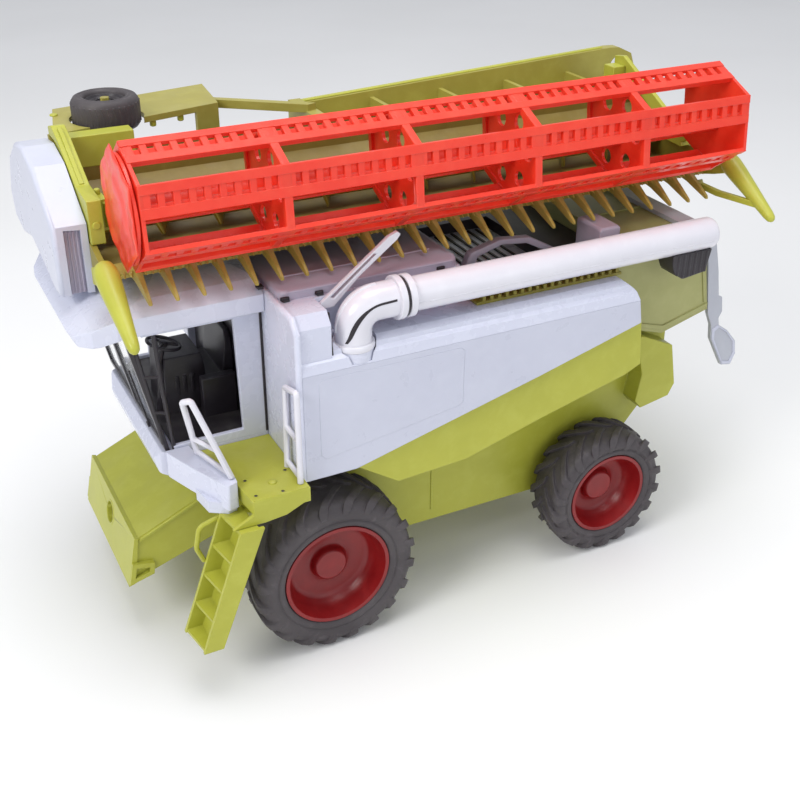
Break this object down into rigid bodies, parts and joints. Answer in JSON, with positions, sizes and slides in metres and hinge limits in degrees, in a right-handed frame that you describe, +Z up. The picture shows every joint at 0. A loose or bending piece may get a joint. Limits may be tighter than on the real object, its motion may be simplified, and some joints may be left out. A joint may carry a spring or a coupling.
{
  "type": "toy combine harvester",
  "caption": "Toy combine harvester with open cab, swinging unloading auger, lifting feeder house and a cutting header laid lengthwise on its roof, its reel free to turn.",
  "frame": {"origin": "on the floor, under the middle of the whole toy's footprint", "axes": "+X forward, +Y the machine's left, +Z up"},
  "size_m": [0.438, 0.2438, 0.3001],
  "materials": {
    "green_plastic": "satin moulded plastic",
    "white_plastic": "semi-gloss moulded plastic",
    "orange_plastic": "semi-gloss moulded plastic",
    "red_plastic": "semi-gloss moulded plastic",
    "black_plastic": "satin moulded plastic",
    "grey_plastic": "satin moulded plastic",
    "tyre_rubber": "soft plastic",
    "steel": "drawn wire",
    "clear_plastic": "clear moulded plastic"
  },
  "bodies": {
    "machine": {"chassis": "green_plastic", "skirt_left": "green_plastic", "skirt_right": "green_plastic", "side_panel_left": "white_plastic", "side_panel_right": "white_plastic", "front_wall": "white_plastic", "grain_tank": "white_plastic", "tank_lid": "white_plastic", "engine_deck": "green_plastic", "deck_arch": "grey_plastic", "air_box": "grey_plastic", "rear_hood": "green_plastic", "rear_panel": "white_plastic", "cab_floor": "white_plastic", "cab_shell": "white_plastic", "cab_roof": "white_plastic", "windscreen_frame": "black_plastic", "cab_glass": "clear_plastic", "cab_seat": "black_plastic", "steering_wheel": "black_plastic", "deck": "green_plastic", "ladder": "green_plastic", "ladder_loop": "green_plastic", "light_bar": "white_plastic", "handrail_front": "white_plastic", "handrail_rear": "white_plastic", "tank_lever": "white_plastic", "auger_socket": "white_plastic", "front_axle": "steel", "rear_axle": "steel"},
    "feeder": {"feeder_house": "green_plastic"},
    "unloader": {"unloader_elbow": "white_plastic", "unloader_tube": "white_plastic", "unloader_spout": "black_plastic"},
    "wheel_front_left": {"tyre_front_left": "tyre_rubber", "rim_front_left": "red_plastic"},
    "wheel_front_right": {"tyre_front_right": "tyre_rubber", "rim_front_right": "red_plastic"},
    "wheel_rear_left": {"tyre_rear_left": "tyre_rubber", "rim_rear_left": "red_plastic"},
    "wheel_rear_right": {"tyre_rear_right": "tyre_rubber", "rim_rear_right": "red_plastic"},
    "header": {"header_trough": "green_plastic", "header_end_plates": "green_plastic", "header_cover": "white_plastic", "knife_bar": "green_plastic", "crop_dividers": "green_plastic", "reel_arms": "green_plastic", "carriage_frame": "green_plastic", "carriage_pin": "green_plastic"},
    "reel": {"reel": "orange_plastic"},
    "header_screw": {"header_screw": "green_plastic"},
    "carriage_wheel": {"carriage_tyre": "tyre_rubber", "carriage_rim": "black_plastic"}
  },
  "joints": [
    {"name": "front_left_wheel_spin", "type": "hinge", "parent": "machine", "child": "wheel_front_left", "pos_m": [0.101, 0.0895, 0.05], "axis": [0, 1, 0], "continuous": true},
    {"name": "front_right_wheel_spin", "type": "hinge", "parent": "machine", "child": "wheel_front_right", "pos_m": [0.101, -0.0945, 0.05], "axis": [0, 1, 0], "continuous": true},
    {"name": "rear_left_wheel_spin", "type": "hinge", "parent": "machine", "child": "wheel_rear_left", "pos_m": [-0.092, 0.086, 0.0425], "axis": [0, 1, 0], "continuous": true},
    {"name": "rear_right_wheel_spin", "type": "hinge", "parent": "machine", "child": "wheel_rear_right", "pos_m": [-0.092, -0.091, 0.0425], "axis": [0, 1, 0], "continuous": true},
    {"name": "feeder_lift", "type": "hinge", "parent": "machine", "child": "feeder", "pos_m": [0.141, -0.0025, 0.078], "axis": [0, -1, 0], "range_deg": [-7, 9]},
    {"name": "unloader_swing", "type": "hinge", "parent": "machine", "child": "unloader", "pos_m": [0.083, 0.0935, 0.2], "axis": [0, 0, -1], "range_deg": [0, 100]},
    {"name": "header_lift_off", "type": "slide", "parent": "machine", "child": "header", "axis": [0, 0, 1], "range_m": [0, 0.12]},
    {"name": "reel_spin", "type": "hinge", "parent": "header", "child": "reel", "pos_m": [0.008, 0.0615, 0.268], "axis": [1, 0, 0], "continuous": true},
    {"name": "header_screw_spin", "type": "hinge", "parent": "header", "child": "header_screw", "pos_m": [0.008, -0.0025, 0.24], "axis": [1, 0, 0], "continuous": true},
    {"name": "carriage_wheel_spin", "type": "hinge", "parent": "header", "child": "carriage_wheel", "pos_m": [0.16, -0.0735, 0.28], "axis": [0, 0, 1], "continuous": true}
  ]
}
